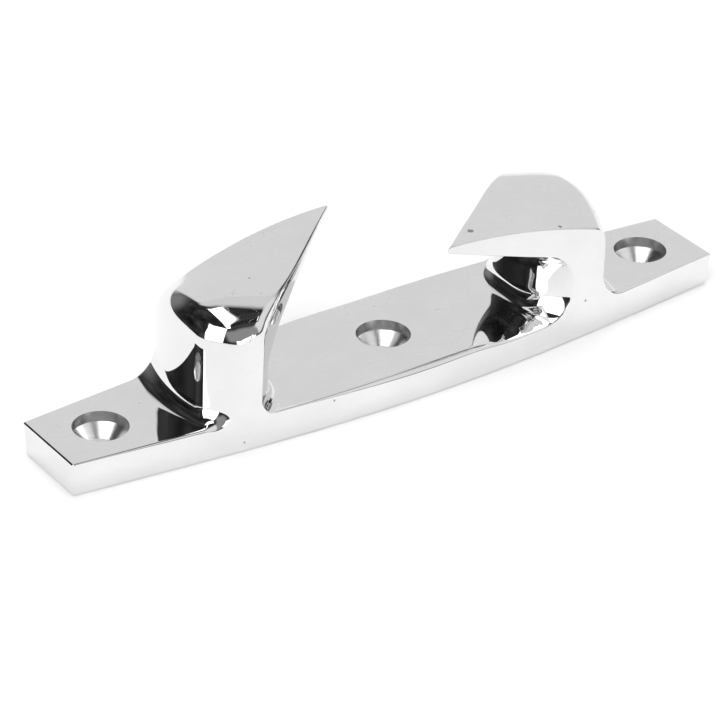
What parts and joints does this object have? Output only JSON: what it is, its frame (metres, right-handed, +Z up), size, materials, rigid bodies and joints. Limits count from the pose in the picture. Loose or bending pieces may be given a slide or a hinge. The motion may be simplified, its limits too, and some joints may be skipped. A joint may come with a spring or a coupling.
{
  "type": "bow chock",
  "caption": "One-piece polished stainless bow chock: narrow boat-shaped base plate with two facing hooks, a slanted rope slot between them and countersunk screw holes.",
  "frame": {"origin": "middle of the flat underside of the base plate", "axes": "+X along the base plate, +Z up out of the deck; the casting looks the same after half a turn about Z"},
  "size_m": [0.1524, 0.0292, 0.0312],
  "materials": {
    "polished_stainless": "mirror-polished cast stainless steel"
  },
  "bodies": {
    "root": {"chock_casting": "polished_stainless"}
  },
  "joints": []
}
